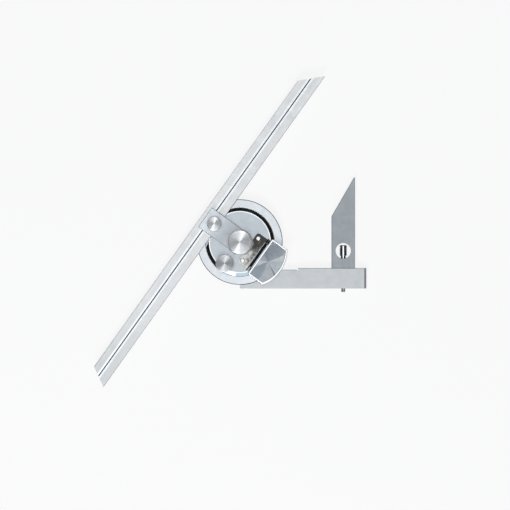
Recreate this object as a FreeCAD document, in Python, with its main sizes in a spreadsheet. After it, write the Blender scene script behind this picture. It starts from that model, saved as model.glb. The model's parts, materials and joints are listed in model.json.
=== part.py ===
"""Universal bevel protractor with acute-angle attachment, fine feed and magnifier, in millimetres.

The frame: the origin is on the swivel axis in the flat back plane, +Z is the dial's normal, and +X runs
along the stock. The turret's pieces are drawn in the turret's own frame, which is turned about Z by
blade_angle: there +X runs along the blade and +Y from the dial's centre to the blade.
"""

import FreeCAD, Part
import math
import os
import re

import Sketcher

SIZES = {
    # stock and dial
    "blade_angle": (54.5, "angle between blade and stock, degrees"),
    "stock_length": (99.6, "stock, from its left end under the dial's centre"),
    "stock_width": (16.1, "stock, from its working edge to its upper edge"),
    "stock_margin": (3.0, "ring's edge to the working edge"),
    "stock_thickness": (6.0, "stock, back to front"),
    "stock_step": (1.3, "drop of the upper edge beside the dial"),
    "stock_step_gap": (11.9, "ring's edge to that drop, along the stock"),
    "stock_relief_r": (0.7, "cutter relief in the corner of the drop"),
    "stock_end_bevel": (1.6, "bevel at the right end, along the stock"),
    "stock_end_bevel_rise": (0.9, "bevel at the right end, across the thickness"),
    "edge_break": (0.3, "small chamfer on steel edges"),
    "lap_level": (2.2, "stock under the dial body, back to front"),
    "ring_width": (6.45, "graduated ring, from its recess to its edge"),
    "ring_face": (7.0, "face of the ring above the back"),
    "ring_chamfer": (0.5, "chamfer round the ring's face"),
    "dial_floor": (3.4, "floor of the recess above the back"),
    "seat_gap": (0.05, "gap round pieces that are screwed together"),
    "stock_screw_first": (-80.0, "first stock screw, degrees"),
    "stock_screw_pitch": (13.0, "between stock screws, degrees"),
    "stock_screw_length": (5.8, "stock screws, from the back"),
    "screw_r": (1.0, "M2 screws"),
    "screw_head_r": (1.9, "countersunk heads"),
    "screw_head_height": (0.9, "countersunk heads"),
    # pivot and lock
    "stud_r": (4.0, "bearing of the pivot stud"),
    "stud_foot_r": (6.0, "foot of the stud, flush in the back"),
    "stud_foot_height": (1.2, "foot of the stud"),
    "stud_thread_r": (3.0, "threaded end of the stud"),
    "stud_thread_length": (5.2, "threaded end of the stud, above the arm"),
    "stud_flat": (2.4, "flats of the threaded end, from its axis"),
    "fit_gap": (0.03, "radial clearance of running fits"),
    "face_gap": (0.02, "clearance between faces that slide or clamp"),
    "thrust_washer_inset": (1.0, "hub's edge to the washer's edge"),
    "thrust_washer_height": (0.5, "bronze washer under the hub"),
    "lock_washer_r": (8.0, "washer under the lock nut"),
    "lock_washer_height": (0.6, "washer under the lock nut"),
    "lock_nut_r": (9.4, "lock nut"),
    "lock_nut_collar_r": (8.4, "plain collar of the lock nut"),
    "lock_nut_collar_height": (1.4, "plain collar of the lock nut"),
    "lock_nut_height": (6.4, "lock nut"),
    "lock_nut_roof": (1.0, "closed end of the lock nut"),
    "knob_chamfer": (0.6, "chamfer of nuts and knobs"),
    "overrun": (1.0, "how far a cut runs past the metal"),
    # turret disc
    "bevel_width": (2.55, "polished bevel round the disc's flat top"),
    "disc_gap": (0.2, "disc's edge to the recess"),
    "bevel_rise": (1.2, "height of the polished bevel above the ring's face"),
    "flange_height": (2.6, "disc's flange, under its top"),
    "hub_gap": (1.55, "hub under the disc, from the pinion's teeth"),
    "vernier_width": (5.95, "vernier plate, from its inner side to the disc's edge"),
    "vernier_half_angle": (25.0, "vernier plate, each side of its middle, degrees"),
    "vernier_height": (0.8, "vernier plate"),
    "vernier_screw_inset": (1.6, "vernier screws from the plate's inner side"),
    "vernier_end_gap": (0.1, "vernier plate in its window, degrees"),
    "vernier_screw_angle": (20.5, "vernier screws from the plate's middle, degrees"),
    "small_screw_r": (0.6, "M1.2 screws"),
    "small_head_r": (1.05, "countersunk heads of the M1.2 screws"),
    "small_head_height": (0.45, "countersunk heads of the M1.2 screws"),
    "small_screw_length": (1.9, "M1.2 screws"),
    # clamp arm, blade clamp and blade
    "arm_width": (18.5, "clamp arm"),
    "arm_reach": (12.3, "arm over the blade, from the blade's long edge"),
    "arm_round_r": (10.0, "rounded inner end of the arm"),
    "arm_height": (4.4, "clamp arm above the disc"),
    "arm_screw_x": (5.5, "arm screws from the arm's middle"),
    "arm_screw_inset": (5.6, "arm screws to the blade's long edge"),
    "arm_screw_length": (5.2, "arm screws"),
    "blade_inset": (5.85, "disc's edge to the long edge of the blade, inwards"),
    "blade_width": (15.4, "blade"),
    "blade_height": (2.0, "thickness of the blade"),
    "blade_lift": (0.35, "blade above the ring's face"),
    "blade_up": (145.0, "upper tip of the blade from the arm's middle"),
    "blade_down": (155.0, "lower tip of the blade from the arm's middle"),
    "blade_up_angle": (45.0, "upper end of the blade, degrees from its long edge"),
    "blade_down_angle": (60.0, "lower end of the blade, degrees from its long edge"),
    "groove_y": (8.15, "middle of the groove from the long edge"),
    "groove_width": (2.4, "groove in the blade's face"),
    "groove_depth": (0.9, "groove in the blade's face"),
    "key_height": (0.75, "key of the clamp shoe in the groove"),
    "shoe_length": (11.6, "clamp shoe, along the blade"),
    "shoe_inset": (1.5, "clamp shoe from the long edge of the blade"),
    "shoe_width": (8.8, "clamp shoe, across the blade"),
    "shoe_height": (1.0, "clamp shoe, without its key"),
    "shoe_travel": (0.45, "room above the clamp shoe"),
    "clamp_screw_inset": (3.6, "blade clamp screw from the long edge of the blade"),
    "clamp_screw_r": (2.0, "thread of the blade clamp screw"),
    "clamp_head_r": (5.6, "head of the blade clamp screw"),
    "clamp_neck_r": (4.3, "neck of the blade clamp screw"),
    "clamp_neck_height": (1.2, "neck of the blade clamp screw"),
    "clamp_head_height": (5.2, "head of the blade clamp screw, with its neck"),
    "clamp_head_gap": (0.3, "under the neck of the blade clamp screw"),
    # fine feed
    "gear_module": (0.5, "ring gear and pinion"),
    "ring_teeth": (100, "ring gear"),
    "pinion_teeth": (18, "pinion"),
    "pressure_angle": (20.0, "ring gear and pinion, degrees"),
    "backlash": (0.12, "circumferential play between ring gear and pinion"),
    "gear_addendum": (0.9, "teeth above their pitch circle, in modules"),
    "gear_dedendum": (1.25, "teeth below their pitch circle, in modules"),
    "ring_gear_rim": (1.525, "ring gear behind its teeth"),
    "gear_height": (2.0, "ring gear"),
    "pinion_lift": (0.2, "pinion above the floor of the recess"),
    "pinion_shaft_r": (1.5, "pinion shaft"),
    "bush_r": (3.0, "bush of the pinion shaft"),
    "feed_knob_r": (7.0, "fine-feed knob"),
    "feed_knob_height": (6.6, "fine-feed knob, with its neck"),
    "feed_knob_gap": (0.3, "knob above the disc"),
    "feed_neck_r": (4.6, "neck of the fine-feed knob"),
    "feed_neck_height": (2.0, "neck of the fine-feed knob"),
    "feed_knob_roof": (1.4, "closed end of the fine-feed knob"),
    "grub_r": (0.7, "grub screw in the knob's neck"),
    # magnifier
    "bracket_half": (14.3, "bracket, each side of its middle"),
    "bracket_near": (7.2, "bracket's ears from the dial's centre"),
    "bracket_far": (16.1, "bracket's front edge from the dial's centre"),
    "bracket_bay_gap": (0.3, "bay of the bracket round the arm's inner end"),
    "bracket_height": (1.2, "bracket plate"),
    "bracket_corner_r": (2.2, "corners of the bracket's ears"),
    "bracket_screw_x": (10.6, "bracket screws from the bracket's middle"),
    "bracket_screw_y": (10.2, "bracket screws from the dial's centre"),
    "bracket_screw_r": (0.8, "M1.6 screws"),
    "bracket_head_r": (1.75, "heads of the bracket screws"),
    "bracket_head_height": (0.8, "heads of the bracket screws"),
    "bracket_screw_length": (3.2, "bracket screws, under the head"),
    "cross_length": (2.0, "cross recess"),
    "cross_width": (0.5, "cross recess"),
    "cross_depth": (0.5, "cross recess"),
    "hinge_overhang": (1.8, "magnifier's hinge from the bracket's front edge"),
    "knuckle_r": (1.3, "knuckles of the hinge"),
    "knuckle_lift": (0.15, "knuckles above the disc"),
    "hinge_half": (15.0, "hinge, each side of its middle"),
    "outer_knuckle": (3.6, "knuckles of the bracket"),
    "hinge_washer_height": (0.3, "friction washers between the knuckles"),
    "hinge_rod_r": (0.6, "hinge rod"),
    "rod_gap": (0.01, "hinge rod in the bracket's knuckles and the washers"),
    "frame_half": (16.9, "lens frame, each side of its middle"),
    "frame_gap": (0.2, "straight edge of the lens frame from the hinge's knuckles"),
    "frame_side": (14.4, "straight sides of the lens frame"),
    "frame_bow": (5.5, "rise of the lens frame's outer arc"),
    "frame_wall": (1.45, "lens frame"),
    "frame_height": (3.0, "lens frame"),
    "frame_lift": (0.8, "lens frame above the disc's face"),
    "frame_corner_r": (1.2, "corners of the lens frame"),
    "ledge_width": (0.6, "ledge under the lens"),
    "ledge_height": (0.6, "ledge under the lens"),
    "lens_edge": (1.6, "lens, at its rim"),
    "lens_rise": (1.5, "dome of the lens"),
    "lens_reach": (20.28, "dome of the lens, from its middle to where it meets the rim's height"),
    "lens_gap": (0.05, "lens in its frame"),
    # acute-angle attachment
    "attachment_inset": (18.1, "middle of the attachment from the stock's right end"),
    "attachment_width": (18.4, "attachment"),
    "attachment_height": (5.0, "thickness of the attachment"),
    "attachment_shoulder": (40.8, "attachment's short side above the stock"),
    "attachment_angle": (30.0, "attachment's end, degrees from its sides"),
    "attachment_blunt": (0.8, "blunt tip of the attachment"),
    "attachment_hole_r": (6.1, "round hole for the barrel nut"),
    "attachment_hole_y": (13.6, "middle of that hole above the stock"),
    "tongue_width": (12.0, "attachment's tongue in the stock"),
    "tongue_height": (3.6, "thickness of the tongue"),
    "tongue_length": (3.0, "depth of the tongue in the stock"),
    "bolt_r": (1.2, "clamp bolt"),
    "bolt_head_r": (1.65, "head of the clamp bolt"),
    "bolt_head_height": (3.1, "head of the clamp bolt"),
    "bolt_seat_depth": (0.3, "seat of that head in the working edge"),
    "barrel_r": (2.95, "barrel nut"),
    "barrel_length": (8.3, "barrel nut, without its neck"),
    "barrel_neck_r": (2.1, "neck of the barrel nut"),
    "barrel_neck_length": (2.3, "neck of the barrel nut"),
    "barrel_roof": (0.9, "closed end of the barrel nut"),
}

# Sizes that follow from those above, in the sheet's own expression language.
DERIVED = {
    "ring_pitch_r": "gear_module * ring_teeth / 2",
    "recess_r": "ring_pitch_r + gear_dedendum * gear_module + ring_gear_rim",
    "ring_outer_r": "recess_r + ring_width",
    "stock_drop": "ring_outer_r + stock_margin",
    "stock_top": "stock_width - stock_drop",
    "stock_low_top": "stock_top - stock_step",
    "stock_step_x": "ring_outer_r + stock_step_gap",
    "stock_screw_circle": "(recess_r + ring_outer_r) / 2",
    "disc_top": "ring_face + bevel_rise",
    "disc_edge_r": "recess_r - disc_gap",
    "disc_face_r": "disc_edge_r - bevel_width",
    "flange_bottom": "disc_top - flange_height",
    "hub_r": "feed_x - pinion_pitch_r - gear_addendum * gear_module - hub_gap",
    "hub_bottom": "dial_floor + thrust_washer_height + face_gap",
    "thrust_washer_r": "hub_r - thrust_washer_inset",
    "vernier_inner_r": "disc_edge_r - vernier_width",
    "vernier_screw_circle": "vernier_inner_r + vernier_screw_inset",
    "vernier_floor": "ring_face - vernier_height",
    "blade_near": "disc_edge_r - blade_inset",
    "blade_seat": "ring_face + blade_lift - face_gap",
    "blade_bottom": "ring_face + blade_lift",
    "blade_top": "blade_bottom + blade_height",
    "blade_far": "blade_near + blade_width",
    "arm_top": "disc_top + arm_height",
    "arm_over_blade": "blade_top + face_gap",
    "arm_end": "blade_near + arm_reach",
    "arm_screw_y": "blade_near - arm_screw_inset",
    "shoe_bottom": "blade_top + face_gap",
    "shoe_top": "shoe_bottom + shoe_height",
    "shoe_near": "blade_near + shoe_inset",
    "shoe_far": "shoe_near + shoe_width",
    "clamp_screw_y": "blade_near + clamp_screw_inset",
    "groove_middle": "blade_near + groove_y",
    "washer_bottom": "arm_top + face_gap",
    "lock_nut_bottom": "washer_bottom + lock_washer_height",
    "lock_nut_top": "lock_nut_bottom + lock_nut_height",
    "stud_top": "arm_top + stud_thread_length",
    "clamp_screw_bottom": "arm_top + clamp_head_gap",
    "feed_knob_bottom": "disc_top + feed_knob_gap",
    "feed_knob_top": "feed_knob_bottom + feed_knob_height",
    "pinion_pitch_r": "gear_module * pinion_teeth / 2",
    "feed_x": "ring_pitch_r - pinion_pitch_r",
    "gear_top": "dial_floor + gear_height",
    "bracket_top": "disc_top + bracket_height",
    "bracket_bay_r": "arm_round_r + bracket_bay_gap",
    "hinge_y": "bracket_far + hinge_overhang",
    "hinge_z": "disc_top + knuckle_r + knuckle_lift",
    "inner_knuckle_half": "hinge_half - outer_knuckle - hinge_washer_height",
    "frame_near": "hinge_y + knuckle_r + frame_gap",
    "frame_bottom": "disc_top + frame_lift",
    "lens_bottom": "frame_bottom + ledge_height",
    "lens_middle_y": "frame_near + (frame_side + frame_bow) / 2",
    "attachment_x": "stock_length - attachment_inset",
    "attachment_z": "stock_thickness / 2",
    "attachment_left": "attachment_x - attachment_width / 2",
    "attachment_right": "attachment_x + attachment_width / 2",
    "hole_y": "stock_top + attachment_hole_y",
    "barrel_seat": "hole_y - attachment_hole_r",
    "barrel_bottom": "barrel_seat + barrel_neck_length",
    "barrel_top": "barrel_bottom + barrel_length",
}

UP = FreeCAD.Vector(0, 0, 1)
HOLE_GAP = "seat_gap"

doc = FreeCAD.newDocument("bevel_protractor")
sheet = doc.addObject("Spreadsheet::Sheet", "Sheet")
for row, (alias, (value, note)) in enumerate(SIZES.items(), start=1):
    sheet.set(f"A{row}", note)
    sheet.set(f"B{row}", str(value))
    sheet.setAlias(f"B{row}", alias)
doc.recompute()
nodes = []


def cell(expression):
    """The expression with every size's name replaced by its cell, or by what it follows from."""

    def expand(word):
        name = word[0]
        if name in DERIVED:
            return "(" + cell(DERIVED[name]) + ")"
        return "Sheet." + name if name in SIZES else name

    return re.sub(r"[A-Za-z_]\w*", expand, expression)


def size(expression):
    """What the expression comes to, in millimetres or degrees."""
    return float(sheet.evalExpression(cell(expression)))


# Placing and naming pieces


def place(piece, x="0", y="0", turret=False):
    """Puts the piece's own axis at a point of the stock's frame, or of the turret's."""
    east, north = x, y
    if turret:
        east = f"({x}) * cos(blade_angle) - ({y}) * sin(blade_angle)"
        north = f"({x}) * sin(blade_angle) + ({y}) * cos(blade_angle)"
        piece.setExpression("Placement.Rotation.Angle", cell("blade_angle"))
    piece.setExpression("Placement.Base.x", cell(east))
    piece.setExpression("Placement.Base.y", cell(north))
    nodes.append(piece)
    return piece


def new_body(label, x="0", y="0", turret=False):
    body = doc.addObject("PartDesign::Body", label)
    body.Label = label
    return place(body, x, y, turret)


# Sketches: every point and radius is bound to the sheet


def new_sketch(body, plane="XY_Plane", level="0", shift_x="0"):
    """An empty sketch on one of the body's own planes, moved along the plane's normal and its x."""
    sketch = body.newObject("Sketcher::SketchObject", body.Label + "_sketch")
    support = next(f for f in body.Origin.OriginFeatures if f.Role == plane)
    sketch.AttachmentSupport = [(support, "")]
    sketch.MapMode = "FlatFace"
    sketch.setExpression("AttachmentOffset.Base.x", cell(shift_x))
    sketch.setExpression("AttachmentOffset.Base.z", cell(level))
    return sketch


def bind(sketch, constraint, expression):
    number = sketch.addConstraint(constraint)
    sketch.setExpression(f"Constraints[{number}]", cell(expression))


def pin(sketch, edge, point, x, y):
    """Ties a point of an edge to its distances from the sketch's origin."""
    bind(sketch, Sketcher.Constraint("DistanceX", -1, 1, edge, point, size(x)), x)
    bind(sketch, Sketcher.Constraint("DistanceY", -1, 1, edge, point, size(y)), y)


def arc_between(start, end, radius):
    """The arc from start to end, anticlockwise, no longer than half a circle."""
    chord = end - start
    height = math.sqrt(max(radius**2 - (chord.Length / 2) ** 2, 0))
    centre = start + chord / 2 + UP.cross(chord).normalize() * height
    first = math.atan2(start.y - centre.y, start.x - centre.x)
    last = math.atan2(end.y - centre.y, end.x - centre.x)
    if last < first:
        last += 2 * math.pi
    return Part.ArcOfCircle(Part.Circle(centre, UP, radius), first, last)


def outline(sketch, corners):
    """A closed outline. A corner is (x, y), or (x, y, radius) where an arc leads on to the next corner;
    a minus before the radius makes the arc clockwise, so hollow in an anticlockwise outline."""
    first_edge = sketch.GeometryCount
    points = [FreeCAD.Vector(size(corner[0]), size(corner[1]), 0) for corner in corners]
    ends = []
    for number, corner in enumerate(corners):
        here, there = points[number], points[(number + 1) % len(points)]
        hollow = len(corner) == 3 and corner[2].startswith("-")
        if len(corner) == 2:
            sketch.addGeometry(Part.LineSegment(here, there))
        elif hollow:
            sketch.addGeometry(arc_between(there, here, size(corner[2][1:])))
        else:
            sketch.addGeometry(arc_between(here, there, size(corner[2])))
        ends.append((2, 1) if hollow else (1, 2))
    for number, (start, end) in enumerate(ends):
        following = (number + 1) % len(corners)
        meeting = (first_edge + number, end, first_edge + following, ends[following][0])
        sketch.addConstraint(Sketcher.Constraint("Coincident", *meeting))
    for number, corner in enumerate(corners):
        edge = first_edge + number
        pin(sketch, edge, ends[number][0], corner[0], corner[1])
        if len(corner) == 3:
            radius = corner[2].lstrip("-")
            bind(sketch, Sketcher.Constraint("Radius", edge, size(radius)), radius)
    return sketch


def rectangle(sketch, left, right, low, high):
    return outline(sketch, [(left, low), (right, low), (right, high), (left, high)])


def circle(sketch, x, y, radius):
    edge = sketch.addGeometry(Part.Circle(FreeCAD.Vector(size(x), size(y), 0), UP, size(radius)))
    pin(sketch, edge, 3, x, y)
    bind(sketch, Sketcher.Constraint("Radius", edge, size(radius)), radius)
    return sketch


# Features


def feature(body, kind, sketch):
    made = body.newObject("PartDesign::" + kind, body.Label + "_" + kind.lower())
    made.Profile = sketch
    return made


def pad(body, sketch, length, midplane=False):
    made = feature(body, "Pad", sketch)
    made.Midplane = midplane
    made.setExpression("Length", cell(length))
    return made


def removes_metal(body, made):
    """Stops the build when a cut has missed the solid."""
    doc.recompute()
    if not made.Shape.Volume < made.BaseFeature.Shape.Volume - 1e-6:
        raise RuntimeError(f"{made.Name} cuts nothing")
    return made


def pocket(body, sketch, depth=None, reverse=False):
    """Cuts against the sketch's normal, along it when reversed, and right through without a depth."""
    made = feature(body, "Pocket", sketch)
    made.Reversed = reverse
    if depth is None:
        made.Type = "ThroughAll"
    else:
        made.setExpression("Length", cell(depth))
    return removes_metal(body, made)


def turn(body, corners, cut=False, plane="XZ_Plane", axis="V_Axis", shift_x="0", level="0"):
    """Turns a section, drawn as radius and height, about the sketch's own axis."""
    sketch = outline(new_sketch(body, plane, level, shift_x), corners)
    made = feature(body, "Groove" if cut else "Revolution", sketch)
    made.ReferenceAxis = (sketch, [axis])
    made.Angle = 360
    return removes_metal(body, made) if cut else made


def repeat_round(body, originals, count, pitch):
    """Copies features about the body's own Z axis, by the pitch in degrees."""
    made = body.newObject("PartDesign::PolarPattern", body.Label + "_polar")
    made.Originals = originals
    made.Axis = (next(f for f in body.Origin.OriginFeatures if f.Role == "Z_Axis"), [""])
    made.Mode = "Spacing"
    made.setExpression("Offset", cell(pitch))
    made.Occurrences = count
    body.Tip = made
    return made


def mirror(body, originals, plane="YZ_Plane"):
    made = body.newObject("PartDesign::Mirrored", body.Label + "_mirrored")
    made.Originals = originals
    made.MirrorPlane = (next(f for f in body.Origin.OriginFeatures if f.Role == plane), [""])
    body.Tip = made
    return made


def chamfer(body, base, wanted, width):
    """Breaks the edges of the base feature that the wanted function picks."""
    doc.recompute()
    names = [f"Edge{n}" for n, edge in enumerate(base.Shape.Edges, start=1) if wanted(edge)]
    made = body.newObject("PartDesign::Chamfer", body.Label + "_chamfer")
    made.Base = (base, names)
    made.setExpression("Size", cell(width))
    doc.recompute()
    return made


def at_level(edge, height):
    """Whether the whole edge lies at this height."""
    box = edge.BoundBox
    return abs(box.ZMin - height) < 1e-4 and abs(box.ZMax - height) < 1e-4


# Sections that a screw and its hole share: the hole is wider by a gap


def countersunk(length, shank_r, head_r, head_height, face="0", points_up=True, gap="0"):
    """A countersunk screw with its flat head in the face, as (radius, height) corners."""
    way = "+" if points_up else "-"
    corners = [
        ("0", face),
        (f"{head_r} + {gap}", face),
        (f"{shank_r} + {gap}", f"{face} {way} {head_height}"),
        (f"{shank_r} + {gap}", f"{face} {way} ({length} + {gap})"),
        ("0", f"{face} {way} ({length} + {gap})"),
    ]
    return corners if points_up else corners[::-1]


def stock_screw(gap):
    return countersunk("stock_screw_length", "screw_r", "screw_head_r", "screw_head_height", gap=gap)


def arm_screw(gap):
    sizes = ("arm_screw_length", "screw_r", "screw_head_r", "screw_head_height")
    return countersunk(*sizes, face="flange_bottom", gap=gap)


def vernier_screw(gap):
    sizes = ("small_screw_length", "small_screw_r", "small_head_r", "small_head_height")
    return countersunk(*sizes, face="ring_face", points_up=False, gap=gap)


def bracket_screw(gap):
    """A pan-head screw through the bracket, as (radius, height) corners; a hole leaves the head out."""
    shank = f"bracket_screw_r + {gap}"
    bottom = f"bracket_top - bracket_screw_length - {gap}"
    if gap != "0":
        return [("0", bottom), (shank, bottom), (shank, "bracket_top"), ("0", "bracket_top")]
    return [
        ("0", bottom),
        (shank, bottom),
        (shank, "bracket_top"),
        ("bracket_head_r", "bracket_top"),
        ("bracket_head_r", "bracket_top + bracket_head_height / 2"),
        ("bracket_head_r - bracket_head_height / 2", "bracket_top + bracket_head_height"),
        ("0", "bracket_top + bracket_head_height"),
    ]


def polar(radius, angle):
    """The (x, y) expressions of a point at a radius and an angle in degrees."""
    return f"({radius}) * cos({angle})", f"({radius}) * sin({angle})"


def cut_at(body, x, y, corners):
    """A turned cut about a vertical axis at (x, y) of the body."""
    return turn(body, corners, cut=True, shift_x=x, level=f"-({y})")


def screw_at(body, x, y, corners):
    """A turned solid about a vertical axis at (x, y) of the body."""
    return turn(body, corners, shift_x=x, level=f"-({y})")


STOCK_SCREWS = 3
LONG_EDGE = 1.05  # an edge is long when it exceeds the attachment's width by this factor


def stock_screw_angle(number):
    return f"(stock_screw_first + {number} * stock_screw_pitch)"


# Stock side


def make_stock():
    body = new_body("stock")
    bottom = "-stock_drop"
    bar = outline(
        new_sketch(body),
        [
            ("0", bottom),
            ("stock_length", bottom),
            ("stock_length", "stock_top"),
            ("stock_step_x", "stock_top"),
            ("stock_step_x", "stock_low_top"),
            ("0", "stock_low_top"),
        ],
    )
    solid = pad(body, bar, "stock_thickness")
    chamfer(body, solid, is_long_stock_edge, "edge_break")

    end = outline(
        new_sketch(body, "XZ_Plane"),
        [
            ("stock_length - stock_end_bevel", "stock_thickness"),
            ("stock_length", "stock_thickness - stock_end_bevel_rise"),
            ("stock_length + stock_end_bevel", "stock_thickness - stock_end_bevel_rise"),
            ("stock_length + stock_end_bevel", "stock_thickness"),
        ],
    )
    pocket_both_ways(body, end)
    relief = new_sketch(body, level="stock_thickness")
    circle(relief, "stock_step_x", "stock_low_top", "stock_relief_r")
    pocket(body, relief)
    seat = circle(new_sketch(body, level="stock_thickness"), "0", "0", "ring_outer_r + seat_gap")
    pocket(body, seat, "stock_thickness - lap_level")

    mortise = rectangle(
        new_sketch(body, "XZ_Plane", level="-stock_top"),
        "attachment_x - tongue_width / 2 - seat_gap",
        "attachment_x + tongue_width / 2 + seat_gap",
        "attachment_z - tongue_height / 2 - seat_gap",
        "attachment_z + tongue_height / 2 + seat_gap",
    )
    pocket(body, mortise, "tongue_length + seat_gap", reverse=True)
    bore = new_sketch(body, "XZ_Plane", level="-stock_top")
    circle(bore, "attachment_x", "attachment_z", "bolt_r + seat_gap")
    pocket(body, bore, reverse=True)
    bolt_seat = new_sketch(body, "XZ_Plane", level="stock_drop")
    circle(bolt_seat, "attachment_x", "attachment_z", "bolt_head_r + 2 * seat_gap")
    pocket(body, bolt_seat, "bolt_seat_depth")
    for number in range(STOCK_SCREWS):
        x, y = polar("stock_screw_circle", stock_screw_angle(number))
        cut_at(body, x, y, stock_screw(HOLE_GAP))


def pocket_both_ways(body, sketch):
    """Cuts right through on both sides of the sketch."""
    made = feature(body, "Pocket", sketch)
    made.Type = "ThroughAll"
    made.Midplane = True
    return removes_metal(body, made)


def is_long_stock_edge(edge):
    """The edges along the stock's working edge and its upper edge."""
    box = edge.BoundBox
    return box.XLength > size("stock_length") / 3 and box.YLength < 1e-4 and box.ZLength < 1e-4


def make_dial_body():
    body = new_body("dial_body")
    turn(
        body,
        [
            ("stud_foot_r", "0"),
            ("ring_outer_r - edge_break", "0"),
            ("ring_outer_r", "edge_break"),
            ("ring_outer_r", "ring_face - ring_chamfer"),
            ("ring_outer_r - ring_chamfer", "ring_face"),
            ("recess_r + edge_break / 2", "ring_face"),
            ("recess_r", "ring_face - edge_break / 2"),
            ("recess_r", "dial_floor"),
            ("stud_r", "dial_floor"),
            ("stud_r", "stud_foot_height"),
            ("stud_foot_r", "stud_foot_height"),
        ],
    )
    lap = rectangle(
        new_sketch(body, level="lap_level"),
        "-seat_gap",
        "ring_outer_r + overrun",
        "-ring_outer_r - overrun",
        "stock_low_top + seat_gap",
    )
    pocket(body, lap, "lap_level")
    for number in range(STOCK_SCREWS):
        x, y = polar("stock_screw_circle", stock_screw_angle(number))
        cut_at(body, x, y, stock_screw(HOLE_GAP))


def make_stock_screws():
    body = new_body("stock_screws")
    body.AllowCompound = True
    x, y = polar("stock_screw_circle", stock_screw_angle(0))
    first = screw_at(body, x, y, stock_screw("0"))
    repeat_round(body, [first], STOCK_SCREWS, "stock_screw_pitch")


def make_pivot_stud():
    body = new_body("pivot_stud")
    turn(
        body,
        [
            ("0", "0"),
            ("stud_foot_r", "0"),
            ("stud_foot_r", "stud_foot_height"),
            ("stud_r", "stud_foot_height"),
            ("stud_r", "arm_top - edge_break"),
            ("stud_thread_r", "arm_top - edge_break"),
            ("stud_thread_r", "stud_top - knob_chamfer"),
            ("stud_thread_r - knob_chamfer", "stud_top"),
            ("0", "stud_top"),
        ],
    )
    for low, high in (("stud_flat", "stud_r"), ("-stud_r", "-stud_flat")):
        flat = rectangle(new_sketch(body, level="stud_top"), "-stud_r", "stud_r", low, high)
        pocket(body, flat, "stud_thread_length")


def make_thrust_washer():
    body = new_body("thrust_washer")
    ring = circle(new_sketch(body, level="dial_floor"), "0", "0", "thrust_washer_r")
    circle(ring, "0", "0", "stud_r + fit_gap")
    pad(body, ring, "thrust_washer_height")


def make_lock_washer():
    """Its bore fits the stud's flats, so that it rises and falls but doesn't turn."""
    body = new_body("lock_washer")
    disc = circle(new_sketch(body, level="washer_bottom"), "0", "0", "lock_washer_r")
    pad(body, disc, "lock_washer_height")
    side = "sqrt((stud_thread_r + fit_gap) ^ 2 - (stud_flat + fit_gap) ^ 2)"
    bore = outline(
        new_sketch(body, level="washer_bottom + lock_washer_height"),
        [
            (f"-{side}", "-stud_flat - fit_gap"),
            (side, "-stud_flat - fit_gap", "stud_thread_r + fit_gap"),
            (side, "stud_flat + fit_gap"),
            (f"-{side}", "stud_flat + fit_gap", "stud_thread_r + fit_gap"),
        ],
    )
    pocket(body, bore)


def knob_section(bore, bottom, roof_under, top, head_r, neck_r, neck_top):
    """A knob with a narrower neck and a blind bore from below, as (radius, height) corners."""
    return [
        (bore, bottom),
        (neck_r, bottom),
        (neck_r, neck_top),
        (f"{head_r} - knob_chamfer / 2", neck_top),
        (head_r, f"{neck_top} + knob_chamfer / 2"),
        (head_r, f"{top} - knob_chamfer"),
        (f"{head_r} - knob_chamfer", top),
        ("0", top),
        ("0", roof_under),
        (bore, roof_under),
    ]


def make_centre_lock_nut():
    body = new_body("centre_lock_nut")
    turn(
        body,
        knob_section(
            "stud_thread_r + fit_gap",
            "lock_nut_bottom",
            "lock_nut_top - lock_nut_roof",
            "lock_nut_top",
            "lock_nut_r",
            "lock_nut_collar_r",
            "lock_nut_bottom + lock_nut_collar_height",
        ),
    )


# Gears

FLANK_POINTS = 3


def involute_flank(base_r, start_r, end_r):
    """Points of an involute, as (radius, angle), from start_r to end_r."""
    flank = []
    for number in range(FLANK_POINTS):
        radius = start_r + (end_r - start_r) * number / (FLANK_POINTS - 1)
        roll = math.sqrt(max((radius / base_r) ** 2 - 1, 0))
        flank.append((radius, roll - math.atan(roll)))
    return flank


def gear_wire(teeth, tip_r, root_r, play, first_angle):
    """The toothed outline of an external gear, or of the space that an internal gear leaves.

    The teeth are thinner than half the pitch by the play. Below the base circle their sides are radial."""
    pressure = math.radians(size("pressure_angle"))
    pitch_r = size("gear_module") * teeth / 2
    base_r = pitch_r * math.cos(pressure)
    half_tooth = (math.pi * pitch_r / teeth - play) / (2 * pitch_r)
    # half of the tooth's angle where its flanks would start on the base circle
    half_foot = half_tooth + math.tan(pressure) - pressure
    flank = involute_flank(base_r, max(root_r, base_r), tip_r)
    if root_r < base_r:
        flank.insert(0, (root_r, 0))
    corners = []
    for number in range(teeth):
        middle = first_angle + 2 * math.pi * number / teeth
        corners += [(radius, middle - half_foot + turned) for radius, turned in flank]
        corners += [(radius, middle + half_foot - turned) for radius, turned in reversed(flank)]
    points = [FreeCAD.Vector(r * math.cos(angle), r * math.sin(angle), 0) for r, angle in corners]
    return Part.makePolygon(points + points[:1])


def add_shape(label, shape, x="0", y="0", turret=False):
    """A piece that neither sketched features nor primitives fit, from a shape worked out above."""
    piece = doc.addObject("Part::Feature", label)
    piece.Label = label
    piece.Shape = shape
    return place(piece, x, y, turret)


def lifted(wire, height, length):
    """A face of the wire, raised to the height and made solid upwards."""
    wire.translate(UP * height)
    return Part.Face(wire).extrude(UP * length)


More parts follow.
